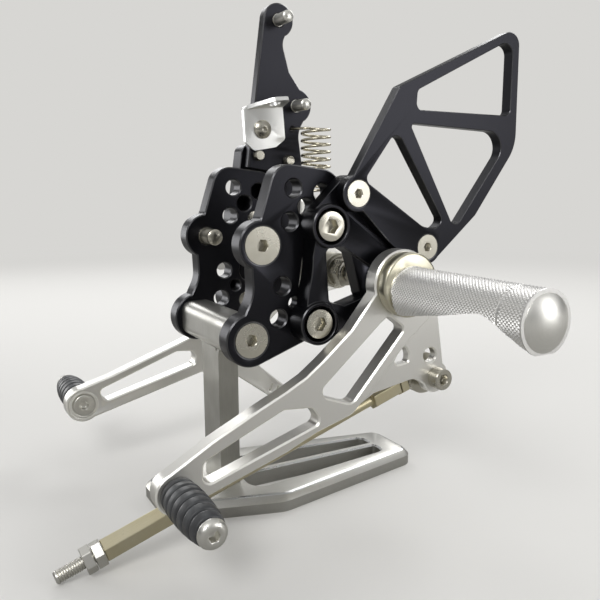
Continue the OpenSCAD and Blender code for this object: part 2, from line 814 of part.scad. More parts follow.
module shift_rod() {
  color("beige") along_rod() difference() {
    union() {
      translate([0, 0, rod_hex]) cylinder(h = rod_round - rod_hex, d = rod_flats / cos(30), $fn = 6);
      translate([0, 0, rod_round - 1]) cylinder(h = rod_hex_2 - rod_round + 2, r = rod_r);
      translate([0, 0, rod_hex_2]) cylinder(h = rod_locks - rod_hex_2, d = rod_flats / cos(30), $fn = 6);
    }
    translate([0, 0, rod_hex - 1]) cylinder(h = rod_round - rod_hex - 5, r = m6);
    translate([0, 0, rod_locks - 20]) cylinder(h = 21, r = m6);
  }
}

module rod_lock_nuts() {
  color("khaki") along_rod() for (k = [0, 1]) translate([0, 0, rod_locks + 0.2 + k * (lock_h + 0.3)])
    rotate([0, 0, 14 + 23 * k]) difference() {
    cylinder(h = lock_h, d = 10 / cos(30), $fn = 6);
    translate([0, 0, -1]) cylinder(h = lock_h + 2, r = m6);
  }
}

module rod_stud() {
  color("silver") along_rod() translate([0, 0, rod_locks - 20]) {
    cylinder(h = 2 * lock_h + 20.5, r = m6 - 0.05);
    cylinder(h = rod_len - rod_locks + 20, r = m6 - 0.26);
  }
}

// Brake pedal
module brake_shape() {
  t = brake_toe;
  difference() {
    union() {
      outline([[t[0] + 1, t[1] - 8.5, 0], [-54, -60, 0], [-31, -66.3, 0], [-2, -88, 4], [5.5, -82, 4],
        [-17.3, -62, 2], [-26, -48, 8], [10, -17, 0], [14, 0, 0], [-8, 6, 0], [-15.4, -5, 0],
        [-38, -27, 0], [-49, -34.8, 0], [-62.5, -40.5, 0], [-104.6, -55.2, 0], [t[0] - 3, t[1] + 8.3, 0]]);
      disc_at(t, toe_end_r);
      disc_at([0, 0], lever_hub_r);
    }
    outline([[-108.5, -68.4, 3], [-58, -55, 3], [-56.5, -47.5, 4], [-68, -46.4, 4], [-111, -62, 2.5]]);
    outline([[-40, -50, 3], [-12, -22, 3], [-18, -14, 3], [-48, -41, 3]]);
    for (c = [[-10.5, -75.3], [-6.6, -77.3]]) translate(c) rotate(-27) square([1.1, 4.4], center = true);
  }
}

module brake_pedal() {
  color("gainsboro") upright() difference() {
    slab(lever_in, lever_out) brake_shape();
    pin([0, 0], lever_in - 1, lever_out + 1, 9);
    pin(brake_toe, lever_in - 1, lever_out + 1, toe_bore);
    pin(brake_toe, lever_in - 1, lever_in + 0.6, 6.8);
  }
}

module brake_shaft() {
  color("silver") upright() difference() {
    pin([0, 0], shaft_end, lever_out, 9);
    pin([0, 0], shaft_end - 1, lever_out + 1, 6 + run_play);
  }
}

module brake_arm() {
  color("gainsboro") upright() difference() {
    slab(arm_in, arm_in + arm_t) union() {
      bar([0, 0], 14, push_at, 7);
      bar([0, 0], 14, spring_pin_at, 5);
    }
    pin([0, 0], arm_in - 1, arm_in + arm_t + 1, 9);
    pin(push_at, arm_in - 1, arm_in + arm_t + 1, m6);
    pin(spring_pin_at, arm_in - 1, arm_in + arm_t + 1, pin_r);
  }
}

module spring_pin() {
  color("silver") upright() union() {
    pin(spring_pin_at, arm_in, arm_in + arm_t + pin_len, pin_r);
    pin(spring_pin_at, arm_in + arm_t + pin_len - 1, arm_in + arm_t + pin_len, pin_r + 0.8);
  }
}

module brake_toe_screw() {
  color("silver") upright() toe_screw(brake_toe);
}

module brake_toe_rubber() {
  color("darkslategray") upright() toe_rubber(brake_toe);
}

stand_base();
stand_post();
stand_base_screws();
left_frame_plate();
right_frame_plate();
crossbar_screws();
frame_screws();
left_step_bracket();
right_step_bracket();
bracket_screws();
heel_guard();
guard_screws();
left_footpeg();
right_footpeg();
footpeg_end_caps();
left_pivot_bolt();
right_pivot_bolt();
pivot_nuts();
pivot_washers();
left_pivot_sleeve();
right_spacer_tube();
shaft_bush();
pivot_rings();
master_bracket();
master_studs();
master_bracket_screws();
switch_plate();
switch_plate_screw();
return_spring();
shift_lever();
lever_bush();
shift_toe_screw();
shift_toe_rubber();
link_screw();
link_spacer();
link_nut();
rod_ball();
rod_end();
rod_jam_nut();
shift_rod();
rod_lock_nuts();
rod_stud();
brake_pedal();
brake_shaft();
brake_arm();
spring_pin();
brake_toe_screw();
brake_toe_rubber();
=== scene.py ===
"""Dresses a pair of adjustable motorbike rear sets standing on an aluminium display stand."""
import logging
import math
from dataclasses import dataclass, field
from enum import Enum
from typing import Callable, Dict, List, Optional, Sequence, Tuple

import bmesh
import bpy
from mathutils import Matrix, Quaternion, Vector


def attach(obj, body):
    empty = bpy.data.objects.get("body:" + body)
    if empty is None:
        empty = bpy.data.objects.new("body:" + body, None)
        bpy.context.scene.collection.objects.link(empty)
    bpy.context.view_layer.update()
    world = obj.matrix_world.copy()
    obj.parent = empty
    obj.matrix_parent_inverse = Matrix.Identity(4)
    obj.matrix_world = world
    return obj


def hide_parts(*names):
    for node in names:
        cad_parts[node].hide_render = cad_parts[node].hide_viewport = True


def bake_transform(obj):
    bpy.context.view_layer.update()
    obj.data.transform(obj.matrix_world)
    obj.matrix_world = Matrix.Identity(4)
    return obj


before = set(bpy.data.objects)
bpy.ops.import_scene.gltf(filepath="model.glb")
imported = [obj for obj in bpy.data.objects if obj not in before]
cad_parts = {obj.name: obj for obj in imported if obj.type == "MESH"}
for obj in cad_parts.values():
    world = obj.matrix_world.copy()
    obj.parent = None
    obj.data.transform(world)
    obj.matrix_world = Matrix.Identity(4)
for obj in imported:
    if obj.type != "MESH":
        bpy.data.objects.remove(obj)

LOG = logging.getLogger("rear_sets")
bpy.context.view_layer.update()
MM = 0.001
# Height of both pivots in mm, and the lean of the drilled plates.
PIVOT_HEIGHT = 108.0
PLATE_LEAN = math.radians(8.0)
# Toe screws of the shift lever and the brake pedal, as x and z in mm.
SHIFT_TOE = (-108.0, 33.0)
BRAKE_TOE = (-119.3, 39.4)
# Ways in which the flat faces of milled plates look.
ACROSS = (0.0, 1.0, 0.0)
UPWARD = (0.0, 0.0, 1.0)
# Radius and pitch in mm of the threads on the large screws, the studs and the rod.
SCREW_THREAD = (4.0, 1.25)
STUD_THREAD = (3.0, 1.0)
ROD_THREAD = (2.74, 1.0)
# Corners closer than this, in mm, are one corner: in new meshes, CAD copies and bevelled plates.
NEW_WELD = 0.001
COPY_WELD = 0.002
PLATE_WELD = 0.15


def linear(hex_colour: str) -> Tuple[float, float, float, float]:
    """Turns an sRGB hex colour into linear values.

    Args:
        hex_colour: six hex digits with a leading hash.

    Returns:
        Linear red, green, blue and an alpha of 1.
    """
    parts = [int(hex_colour[i:i + 2], 16) / 255.0 for i in (1, 3, 5)]
    rgb = [c / 12.92 if c <= 0.04045 else ((c + 0.055) / 1.055) ** 2.4 for c in parts]
    return rgb[0], rgb[1], rgb[2], 1.0


def add_node(tree: bpy.types.NodeTree, kind: str, settings: Optional[Dict[object, object]] = None,
             links: Optional[Dict[object, bpy.types.NodeSocket]] = None) -> bpy.types.Node:
    """Adds one node with its settings and links.

    Args:
        tree: the node tree that gets the node.
        kind: the node's type name.
        settings: property names, or input sockets by name or number, with their values.
        links: input sockets, by name or number, with the output that feeds each.

    Returns:
        The new node.
    """
    node = tree.nodes.new(kind)
    for key, value in (settings or {}).items():
        if isinstance(key, int) or key in node.inputs:
            node.inputs[key].default_value = value
        else:
            setattr(node, key, value)
    for key, output in (links or {}).items():
        tree.links.new(output, node.inputs[key])
    return node


def start_material(name: str) -> Tuple[bpy.types.Material, bpy.types.NodeSocket]:
    """Starts a material whose node tree holds nothing but the object's own coordinates.

    Args:
        name: plain name of the finish.

    Returns:
        The material, and the output that gives a place in the object.
    """
    material = bpy.data.materials.new(name)
    material.use_nodes = True
    material.node_tree.nodes.clear()
    return material, add_node(material.node_tree, "ShaderNodeTexCoord").outputs["Object"]


def lean(across: float, up: float) -> Tuple[float, float]:
    """Turns a place in the leaning plane of the plates into the upright frame, in mm."""
    return (across * math.cos(PLATE_LEAN) + up * math.sin(PLATE_LEAN),
            PIVOT_HEIGHT - across * math.sin(PLATE_LEAN) + up * math.cos(PLATE_LEAN))


class Grain(Enum):
    """Direction of the marks that the making left on a surface, as lengths along x, y and z in mm.

    Real marks are finer than 0.1 mm. They are drawn as coarse as they need to be to show.
    """

    EVEN = (0.5, 0.5, 0.5)
    ALONG_X = (9.0, 0.35, 0.35)
    ALONG_Z = (0.35, 0.35, 9.0)
    TURNED = (4.0, 0.3, 4.0)


@dataclass(frozen=True)
class MetalFinish:
    """A metal surface: its colour, its gloss and the marks of its making.

    Attributes:
        name: plain name of the finish.
        colour: main colour as sRGB hex.
        shade: colour in the dull patches as sRGB hex.
        gloss: roughness at the smoothest places.
        dull: roughness at the dullest places.
        grain: direction and size of the marks.
        depth: height of the marks in mm.
        metallic: share of metal in the reflection.
        patch: size of the dull patches in mm.
        marks_share: how much the marks add to the patches.
        spread: sums of both noises that count as wholly dull and wholly glossy.
        relief: strength of the marks as relief.
    """

    name: str
    colour: str
    shade: str
    gloss: float
    dull: float
    grain: Grain = Grain.EVEN
    depth: float = 0.01
    metallic: float = 1.0
    patch: float = 16.67
    marks_share: float = 0.6
    spread: Tuple[float, float] = (0.45, 1.15)
    relief: float = 0.6

    def build(self) -> bpy.types.Material:
        """Makes the material, or takes the one that already has its name.

        Returns:
            The finished material.
        """
        if self.name in bpy.data.materials:
            return bpy.data.materials[self.name]
        material, place = start_material(self.name)
        tree = material.node_tree
        scale = tuple(1.0 / (MM * length) for length in self.grain.value)
        marks_at = add_node(tree, "ShaderNodeMapping", {"Scale": scale}, {"Vector": place})
        marks = add_node(tree, "ShaderNodeTexNoise", {"Scale": 1.0, "Detail": 3.0, "Roughness": 0.6},
                         {"Vector": marks_at.outputs["Vector"]})
        patches = add_node(tree, "ShaderNodeTexNoise", {"Scale": 1.0 / (MM * self.patch), "Detail": 2.0},
                           {"Vector": place})
        both = add_node(tree, "ShaderNodeMath", {"operation": "MULTIPLY_ADD", 1: self.marks_share},
                        {0: marks.outputs["Fac"], 2: patches.outputs["Fac"]})
        spread = {"From Min": self.spread[0], "From Max": self.spread[1]}
        share = add_node(tree, "ShaderNodeMapRange", spread, {"Value": both.outputs["Value"]})
        tint = add_node(tree, "ShaderNodeMix",
                        {"data_type": "RGBA", 6: linear(self.shade), 7: linear(self.colour)},
                        {0: share.outputs["Result"]})
        gloss = add_node(tree, "ShaderNodeMapRange", {**spread, "To Min": self.dull, "To Max": self.gloss},
                         {"Value": both.outputs["Value"]})
        relief = add_node(tree, "ShaderNodeBump", {"Strength": self.relief, "Distance": self.depth * MM},
                          {"Height": marks.outputs["Fac"]})
        shader = add_node(tree, "ShaderNodeBsdfPrincipled", {"Metallic": self.metallic},
                          {"Base Color": tint.outputs[2], "Roughness": gloss.outputs["Result"],
                           "Normal": relief.outputs["Normal"]})
        add_node(tree, "ShaderNodeOutputMaterial", {}, {"Surface": shader.outputs["BSDF"]})
        return material


@dataclass(frozen=True)
class RubberFinish:
    """Moulded rubber: almost black, with a fine skin and paler rubbed places.

    Attributes:
        name: plain name of the finish.
        colour: colour of the rubber as sRGB hex.
        rubbed: colour of rubbed places as sRGB hex.
        grain: size of the skin's grain in mm, coarser than the real one so that it shows.
        depth: height of the grain in mm.
        patch: size of the rubbed places in mm.
        spread: noise that counts as not rubbed and as wholly rubbed.
        roughness: roughness where the rubber is smoothest and dullest.
        relief: strength of the grain as relief.
    """

    name: str
    colour: str
    rubbed: str
    grain: float = 0.4
    depth: float = 0.03
    patch: float = 5.556
    spread: Tuple[float, float] = (0.4, 0.7)
    roughness: Tuple[float, float] = (0.36, 0.52)
    relief: float = 0.35

    def build(self) -> bpy.types.Material:
        """Makes the material, or takes the one that already has its name.

        Returns:
            The finished material.
        """
        if self.name in bpy.data.materials:
            return bpy.data.materials[self.name]
        material, place = start_material(self.name)
        tree = material.node_tree
        skin = add_node(tree, "ShaderNodeTexNoise", {"Scale": 1.0 / (MM * self.grain), "Detail": 2.0},
                        {"Vector": place})
        rubbed = add_node(tree, "ShaderNodeTexNoise", {"Scale": 1.0 / (MM * self.patch), "Detail": 4.0},
                          {"Vector": place})
        share = add_node(tree, "ShaderNodeMapRange", {"From Min": self.spread[0], "From Max": self.spread[1]},
                         {"Value": rubbed.outputs["Fac"]})
        tint = add_node(tree, "ShaderNodeMix",
                        {"data_type": "RGBA", 6: linear(self.colour), 7: linear(self.rubbed)},
                        {0: share.outputs["Result"]})
        gloss = add_node(tree, "ShaderNodeMapRange",
                         {"To Min": self.roughness[0], "To Max": self.roughness[1]},
                         {"Value": rubbed.outputs["Fac"]})
        relief = add_node(tree, "ShaderNodeBump", {"Strength": self.relief, "Distance": self.depth * MM},
                          {"Height": skin.outputs["Fac"]})
        shader = add_node(tree, "ShaderNodeBsdfPrincipled", {"Metallic": 0.0},
                          {"Base Color": tint.outputs[2], "Roughness": gloss.outputs["Result"],
                           "Normal": relief.outputs["Normal"]})
        add_node(tree, "ShaderNodeOutputMaterial", {}, {"Surface": shader.outputs["BSDF"]})
        return material


# The CAD nodes bring plain materials named as BLACK, LEVER, BRONZE and SHEET are. Those are taken,
# so the faces of these four show the nodes' plain colours, and their values here have no effect.
# Black anodised aluminium: a dyed oxide skin, almost black, with a soft even sheen.
BLACK = MetalFinish("black_anodised", "#1b1b1b", "#111111", 0.24, 0.36, Grain.EVEN, 0.004, 0.75)
# The milled bevels, under the same black skin, are painted a paler grey as a fine painted highlight.
BLACK_BEVEL_HIGHLIGHT = MetalFinish("black_anodised_bevel", "#58585a", "#4c4c4e", 0.30, 0.34, Grain.EVEN, 0.0, 0.9)
# Milled aluminium with a clear satin skin, a little warm, streaked lengthways, for the levers.
LEVER = MetalFinish("satin_aluminium", "#ece7d8", "#ded8c6", 0.32, 0.44, Grain.ALONG_X, 0.005)
# The levers' milled bevels, a little smoother than their faces; their near white is a painted highlight.
LEVER_BEVEL_HIGHLIGHT = MetalFinish("satin_aluminium_bevel", "#faf9f4", "#f1efe7", 0.30, 0.36, Grain.EVEN, 0.0, 0.65)
# Sawn and brushed aluminium, cooler, streaked along the base of the stand.
STAND = MetalFinish("brushed_stand_aluminium", "#cfcec9", "#bcbbb5", 0.36, 0.48, Grain.ALONG_X, 0.008)
# The same metal, streaked from top to bottom, for the post.
POST = MetalFinish("brushed_post_aluminium", "#cfcec9", "#b8b7b1", 0.34, 0.48, Grain.ALONG_Z, 0.01)
# The stand's broken edges, glossier than its faces; their paler colour is a painted highlight.
STAND_BEVEL_HIGHLIGHT = MetalFinish("stand_bevel", "#dedfde", "#cfd0d0", 0.22, 0.32, Grain.EVEN, 0.003)
# Knurled aluminium, bright and almost white, for the footpegs.
PEG = MetalFinish("knurled_aluminium", "#f7f6f4", "#ecebe8", 0.34, 0.46, Grain.TURNED, 0.003)
# Turned aluminium with faint rings from the lathe, for the footpegs' end caps.
CAP = MetalFinish("turned_end_cap", "#f4f3ee", "#e6e5df", 0.34, 0.46, Grain.TURNED, 0.003)
# Stainless steel screws, satin, a little yellow.
STEEL = MetalFinish("stainless_steel", "#cbc8bd", "#b7b3a6", 0.22, 0.36, Grain.TURNED, 0.006)
# Bright zinc on nuts, studs and turned buttons, whiter than the stainless screws.
ZINC = MetalFinish("bright_zinc", "#e9e8e2", "#d7d5ce", 0.30, 0.42, Grain.TURNED, 0.004)
# Steel with a thin yellowish zinc skin, for the rod.
ROD = MetalFinish("yellow_zinc_steel", "#e1d9bd", "#cfc5a2", 0.26, 0.40, Grain.TURNED, 0.006)
# Turned aluminium with a pale warm skin, for the rings at the footpegs' roots.
RING = MetalFinish("warm_anodised_ring", "#dedac6", "#d0cbb4", 0.28, 0.40, Grain.TURNED, 0.004)
# Bearing bronze, brown and rather dull, for the bushes.
BRONZE = MetalFinish("bearing_bronze", "#a67c45", "#8a6536", 0.34, 0.48, Grain.TURNED, 0.008)
# Bright rolled sheet, faintly streaked, for the switch plate.
SHEET = MetalFinish("bright_sheet", "#d0cdc0", "#bdb9aa", 0.26, 0.38, Grain.ALONG_X, 0.004)
# Drawn steel wire, pale and glossy, for the return spring.
WIRE = MetalFinish("drawn_spring_wire", "#d8d2bf", "#c4bda8", 0.22, 0.34, Grain.EVEN, 0.003)
# Moulded rubber, almost black, with a soft shine on its ribs, for the toe pieces.
RUBBER = RubberFinish("moulded_rubber", "#37383a", "#4b4d4f")


def as_piece(shape: bmesh.types.BMesh, name: str, body: Optional[str],
             materials: Sequence[bpy.types.Material], replaces: Sequence[str],
             sharp: float = 32.0) -> bpy.types.Object:
    """Turns a mesh in the making into a finished piece that rides on a body.

    Args:
        shape: the bmesh, in metres in the row frame; it is freed here.
        name: name of the new piece.
        body: name of the body that carries it, or None for a piece left on no body.
        materials: materials by slot number.
        replaces: CAD nodes that the piece stands for.
        sharp: angle in degrees past which an edge stays sharp.

    Returns:
        The new object.
    """
    mesh = bpy.data.meshes.new(name)
    for face in shape.faces:
        face.smooth = True
    shape.to_mesh(mesh)
    shape.free()
    mesh.set_sharp_from_angle(angle=math.radians(sharp))
    for material in materials:
        mesh.materials.append(material)
    piece = bpy.data.objects.new(name, mesh)
    bpy.context.scene.collection.objects.link(piece)
    if body is not None:
        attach(piece, body)
    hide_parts(*replaces)
    LOG.info("built %s with %d faces", name, len(mesh.polygons))
    return piece


def weld(shape: bmesh.types.BMesh, distance: float) -> None:
    """Makes corners that lie closer than a distance in mm one corner."""
    bmesh.ops.remove_doubles(shape, verts=shape.verts, dist=distance * MM)


def join_flats(shape: bmesh.types.BMesh, distance: float) -> None:
    """Welds close corners and joins the faces that lie in one plane.

    Args:
        shape: the mesh to work on.
        distance: corners closer than this, in mm, are welded.
    """
    weld(shape, distance)
    bmesh.ops.dissolve_limit(shape, angle_limit=math.radians(0.6), verts=shape.verts, edges=shape.edges,
                             delimit=set())


def merged_copy(node: str) -> bmesh.types.BMesh:
    """Copies a node's loose triangles into one closed mesh of flat faces.

    Args:
        node: name of the CAD node.

    Returns:
        The merged bmesh.
    """
    shape = bmesh.new()
    shape.from_mesh(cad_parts[node].data)
    join_flats(shape, COPY_WELD)
    return shape


def sharp_edges(shape: bmesh.types.BMesh) -> List[bmesh.types.BMEdge]:
    """Finds the edges at which two faces meet at 30 degrees or more.

    Args:
        shape: the mesh to search.

    Returns:
        The edges, in the mesh's order.
    """
    least = math.radians(30.0)
    return [edge for edge in shape.edges
            if len(edge.link_faces) == 2 and edge.calc_face_angle(0.0) >= least]


def outline_edges(shape: bmesh.types.BMesh, face: Tuple[float, float, float],
                  keep: Callable[[Vector], bool]) -> List[bmesh.types.BMEdge]:
    """Finds the sharp edges round the outlines and windows of a plate's flat faces.

    Args:
        shape: the mesh to search.
        face: way in which the flat faces look.
        keep: test on an edge's middle in mm; edges that fail it are left out.

    Returns:
        The edges, in the mesh's order.
    """
    way = Vector(face)
    edges = []
    for edge in sharp_edges(shape):
        one, other = [abs(side.normal.dot(way)) > 0.99 for side in edge.link_faces]
        if one != other and keep((edge.verts[0].co + edge.verts[1].co) / (2.0 * MM)):
            edges.append(edge)
    return edges


def chamfer(shape: bmesh.types.BMesh, edges: Sequence[bmesh.types.BMEdge], width: float, steps: int = 1,
            clamp: bool = True) -> None:
    """Bevels edges of a milled or turned shape and gives the new faces the second material.

    Args:
        shape: the mesh to work on.
        edges: the edges to bevel.
        width: width of the bevel in mm.
        steps: number of faces across the bevel.
        clamp: whether the shortest edge limits the width.
    """
    cut = bmesh.ops.bevel(shape, geom=edges, offset=width * MM, offset_type="OFFSET", segments=steps,
                          profile=0.5, affect="EDGES", clamp_overlap=clamp, material=-1)
    for face in cut["faces"]:
        face.material_index = 1
    weld(shape, NEW_WELD)


@dataclass
class WorkedPart:
    """One piece whose shape is the CAD node's, finished with bevelled edges.

    Attributes:
        node: the CAD node.
        finish: finish of its faces.
        edge: finish of its bevels; on plates and levers its paler colour is a painted highlight.
        slot: material slot of the record; not used.
        bevel: width of the bevel in mm.
        steps: faces across the bevel.
        sharp: shading angle in degrees.
        face: way in which a plate's flat faces look; their outlines alone are then bevelled.
        hub: radius round the pivot line in mm inside which a plate's edges stay sharp.
        above: height in mm under which a plate's edges stay sharp.
    """

    node: str
    finish: MetalFinish
    edge: MetalFinish
    slot: str
    bevel: float = 0.3
    steps: int = 1
    sharp: float = 32.0
    face: Optional[Tuple[float, float, float]] = None
    hub: float = 0.0
    above: float = -1.0

    def bevelled(self, middle: Vector) -> bool:
        """Tells whether a plate's edge with this middle, in mm, is bevelled."""
        return math.hypot(middle.x, middle.z - PIVOT_HEIGHT) > self.hub and middle.z > self.above

    def build(self, body: str) -> bpy.types.Object:
        """Builds the piece.

        Args:
            body: name of the body that carries it.

        Returns:
            The finished piece.
        """
        shape = merged_copy(self.node)
        if self.face is None:
            chamfer(shape, sharp_edges(shape), self.bevel, self.steps)
        else:
            join_flats(shape, PLATE_WELD)
            chamfer(shape, outline_edges(shape, self.face, self.bevelled), self.bevel, clamp=False)
        return as_piece(shape, self.node + "_finished", body, [self.finish.build(), self.edge.build()],
                        [self.node], self.sharp)


def turned(outline: Sequence[Tuple[float, float]], start: Vector, way: Vector, steps: int,
           ring: bool = False) -> bmesh.types.BMesh:
    """Turns an outline round an axis.

    Args:
        outline: points as radius and distance along the axis, in mm.
        start: the point of the axis at distance 0, in mm.
        way: direction of the axis.
        steps: number of faces round the axis.
        ring: whether the outline closes on itself, for a hollow piece.

    Returns:
        The bmesh in metres.
    """
    shape = bmesh.new()
    verts = [shape.verts.new((r * MM, 0.0, h * MM)) for r, h in outline]
    pairs = list(zip(verts, verts[1:])) + ([(verts[-1], verts[0])] if ring else [])
    edges = [shape.edges.new(pair) for pair in pairs]
    bmesh.ops.spin(shape, geom=verts + edges, cent=(0, 0, 0), axis=(0, 0, 1), dvec=(0, 0, 0),
                   angle=math.tau, steps=steps, use_merge=True, use_duplicate=False)
    weld(shape, NEW_WELD)
    turn = way.normalized().to_track_quat("Z", "Y").to_matrix().to_4x4()
    bmesh.ops.transform(shape, matrix=Matrix.Translation(start * MM) @ turn, verts=shape.verts)
    bmesh.ops.recalc_face_normals(shape, faces=shape.faces)
    return shape


def turned_thread(start: Vector, end: Vector, thread: Tuple[float, float]) -> bmesh.types.BMesh:
    """Makes a threaded bar as a mesh of its own, its thread shown as rings.

    Args:
        start: where the bar begins, in mm.
        end: its point, in mm.
        thread: outer radius and pitch in mm.

    Returns:
        The bmesh in metres.
    """
    radius, pitch = thread
    length = (end - start).length
    depth, crest, taper, bare = 0.45 * pitch, 0.12, 0.7, 1.0
    outline = [(0.0, 0.0), (radius, 0.0)]
    for k in range(int((length - bare) / pitch)):
        outline += [(radius, (k + crest) * pitch), (radius - depth, (k + 0.5) * pitch),
                    (radius, (k + 1.0 - crest) * pitch)]
    outline += [(radius, length - taper), (radius - taper, length), (0.0, length)]
    return turned(outline, start, end - start, 28)


def add_shape(target: bmesh.types.BMesh, extra: bmesh.types.BMesh) -> None:
    """Adds one mesh to another.

    Args:
        target: the mesh that grows.
        extra: the mesh that is added and freed.
    """
    carrier = bpy.data.meshes.new("carrier")
    extra.to_mesh(carrier)
    extra.free()
    target.from_mesh(carrier)
    bpy.data.meshes.remove(carrier)


def shorten(shape: bmesh.types.BMesh, limit: float, side: float) -> None:
    """Draws a straight shank back to a station across the machine.

    Args:
        shape: the mesh with the shank along Y.
        limit: distance from the middle plane in mm where the shank ends.
        side: 1 for the right side, -1 for the left.
    """
    for vert in shape.verts:
        if vert.co.y * side > 0 and vert.co.y * side < limit * MM:
            vert.co.y = side * limit * MM


@dataclass
class WorkedAssembly:
    """Pieces of one body whose shapes are the CAD nodes'.

    Attributes:
        body: the body that carries every piece.
        parts: the pieces.
    """

    body: str
    parts: List[WorkedPart]

    def build(self) -> None:
        """Builds every piece."""
        for part in self.parts:
            part.build(self.body)


@dataclass
class DisplayStand(WorkedAssembly):
    """Base plate, post with crossbar and the hidden base screws.

    Attributes:
        bar: the crossbar's axis in the leaning plane of the plates, in mm.
        bar_radius: radius of the solid's round crossbar in mm.
        bar_half: half the width of the squared bar in mm.
        bar_corner: radius of the squared bar's corners in mm.
    """

    body: str = "stand"
    parts: List[WorkedPart] = field(default_factory=lambda: [
        WorkedPart("stand_base", STAND, STAND_BEVEL_HIGHLIGHT, "satin_aluminium", 0.8, face=UPWARD, above=4.0),
        WorkedPart("stand_base_screws", STEEL, STEEL, "stainless_screw", 0.2)])
    bar: Tuple[float, float] = (-60.4, -31.9)
    bar_radius: float = 9.0
    bar_half: float = 8.5
    bar_corner: float = 4.6

    def square_off(self, shape: bmesh.types.BMesh) -> None:
        """Presses the round crossbar into the softly squared bar of the photograph.

        Args:
            shape: the post's mesh, whose crossbar is moved.
        """
        x, z = lean(*self.bar)
        middle = self.bar_half - self.bar_corner
        off_surface = 0.06
        for vert in shape.verts:
            across, up = vert.co.x / MM - x, vert.co.z / MM - z
            reach = math.hypot(across, up)
            if abs(reach - self.bar_radius) > off_surface:
                continue
            a, b = abs(across) / reach, abs(up) / reach
            flat = self.bar_half / max(a, b)
            if min(a, b) * flat > middle:
                along = middle * (a + b)
                inside = along * along - 2.0 * middle * middle + self.bar_corner * self.bar_corner
                flat = along + math.sqrt(max(0.0, inside))
            vert.co.x, vert.co.z = (x + across / reach * flat) * MM, (z + up / reach * flat) * MM

    def build(self) -> None:
        """Builds every piece of the stand."""
        super().build()
        shape = merged_copy("stand_post")
        self.square_off(shape)
        chamfer(shape, sharp_edges(shape), 0.5)
        # The post's bevels take the stand's paler edge colour, a painted highlight.
        as_piece(shape, "stand_post_finished", self.body, [POST.build(), STAND_BEVEL_HIGHLIGHT.build()],
                 ["stand_post"], 26.0)


@dataclass
class FrameSide(WorkedAssembly):
    """Drilled plates, step brackets, heel guard and the screws that hold them.

    Attributes:
        frame_screw: place of the frame screws in the leaning plane of the plates, in mm.
        plate_in: distance of the plates' inner faces from the middle plane in mm.
        shank_end: distance of the frame screws' points from the middle plane in mm.
        rooted: how far each thread begins inside the plate, in mm.
    """

    body: str = "stand"
    parts: List[WorkedPart] = field(default_factory=lambda: [
        WorkedPart("left_frame_plate", BLACK, BLACK_BEVEL_HIGHLIGHT, "black_anodised", 0.6, face=ACROSS),
        WorkedPart("right_frame_plate", BLACK, BLACK_BEVEL_HIGHLIGHT, "black_anodised", 0.6, face=ACROSS),
        WorkedPart("left_step_bracket", BLACK, BLACK_BEVEL_HIGHLIGHT, "black_anodised", 0.4, face=ACROSS, hub=16.0),
        WorkedPart("right_step_bracket", BLACK, BLACK_BEVEL_HIGHLIGHT, "black_anodised", 0.4, face=ACROSS, hub=16.0),
        WorkedPart("heel_guard", BLACK, BLACK_BEVEL_HIGHLIGHT, "black_anodised", 0.9),
        WorkedPart("crossbar_screws", STEEL, STEEL, "stainless_screw", 0.25),
        WorkedPart("bracket_screws", STEEL, STEEL, "stainless_screw", 0.7, 3, 45.0),
        WorkedPart("guard_screws", STEEL, STEEL, "stainless_screw", 0.25)])
    frame_screw: Tuple[float, float] = (-60.3, 9.8)
    plate_in: float = 28.0
    shank_end: float = 16.0
    rooted: float = 1.0

    def build(self) -> None:
        """Builds the plates, brackets, guard and screws."""
        super().build()
        shape = merged_copy("frame_screws")
        chamfer(shape, sharp_edges(shape), 0.25)
        x, z = lean(*self.frame_screw)
        for side in (1.0, -1.0):
            shorten(shape, self.plate_in, side)
        for side in (1.0, -1.0):
            add_shape(shape, turned_thread(Vector((x, side * (self.plate_in + self.rooted), z)),
                                           Vector((x, side * self.shank_end, z)), SCREW_THREAD))
        as_piece(shape, "frame_screws_finished", self.body, [STEEL.build(), STEEL.build()],
                 ["frame_screws"])


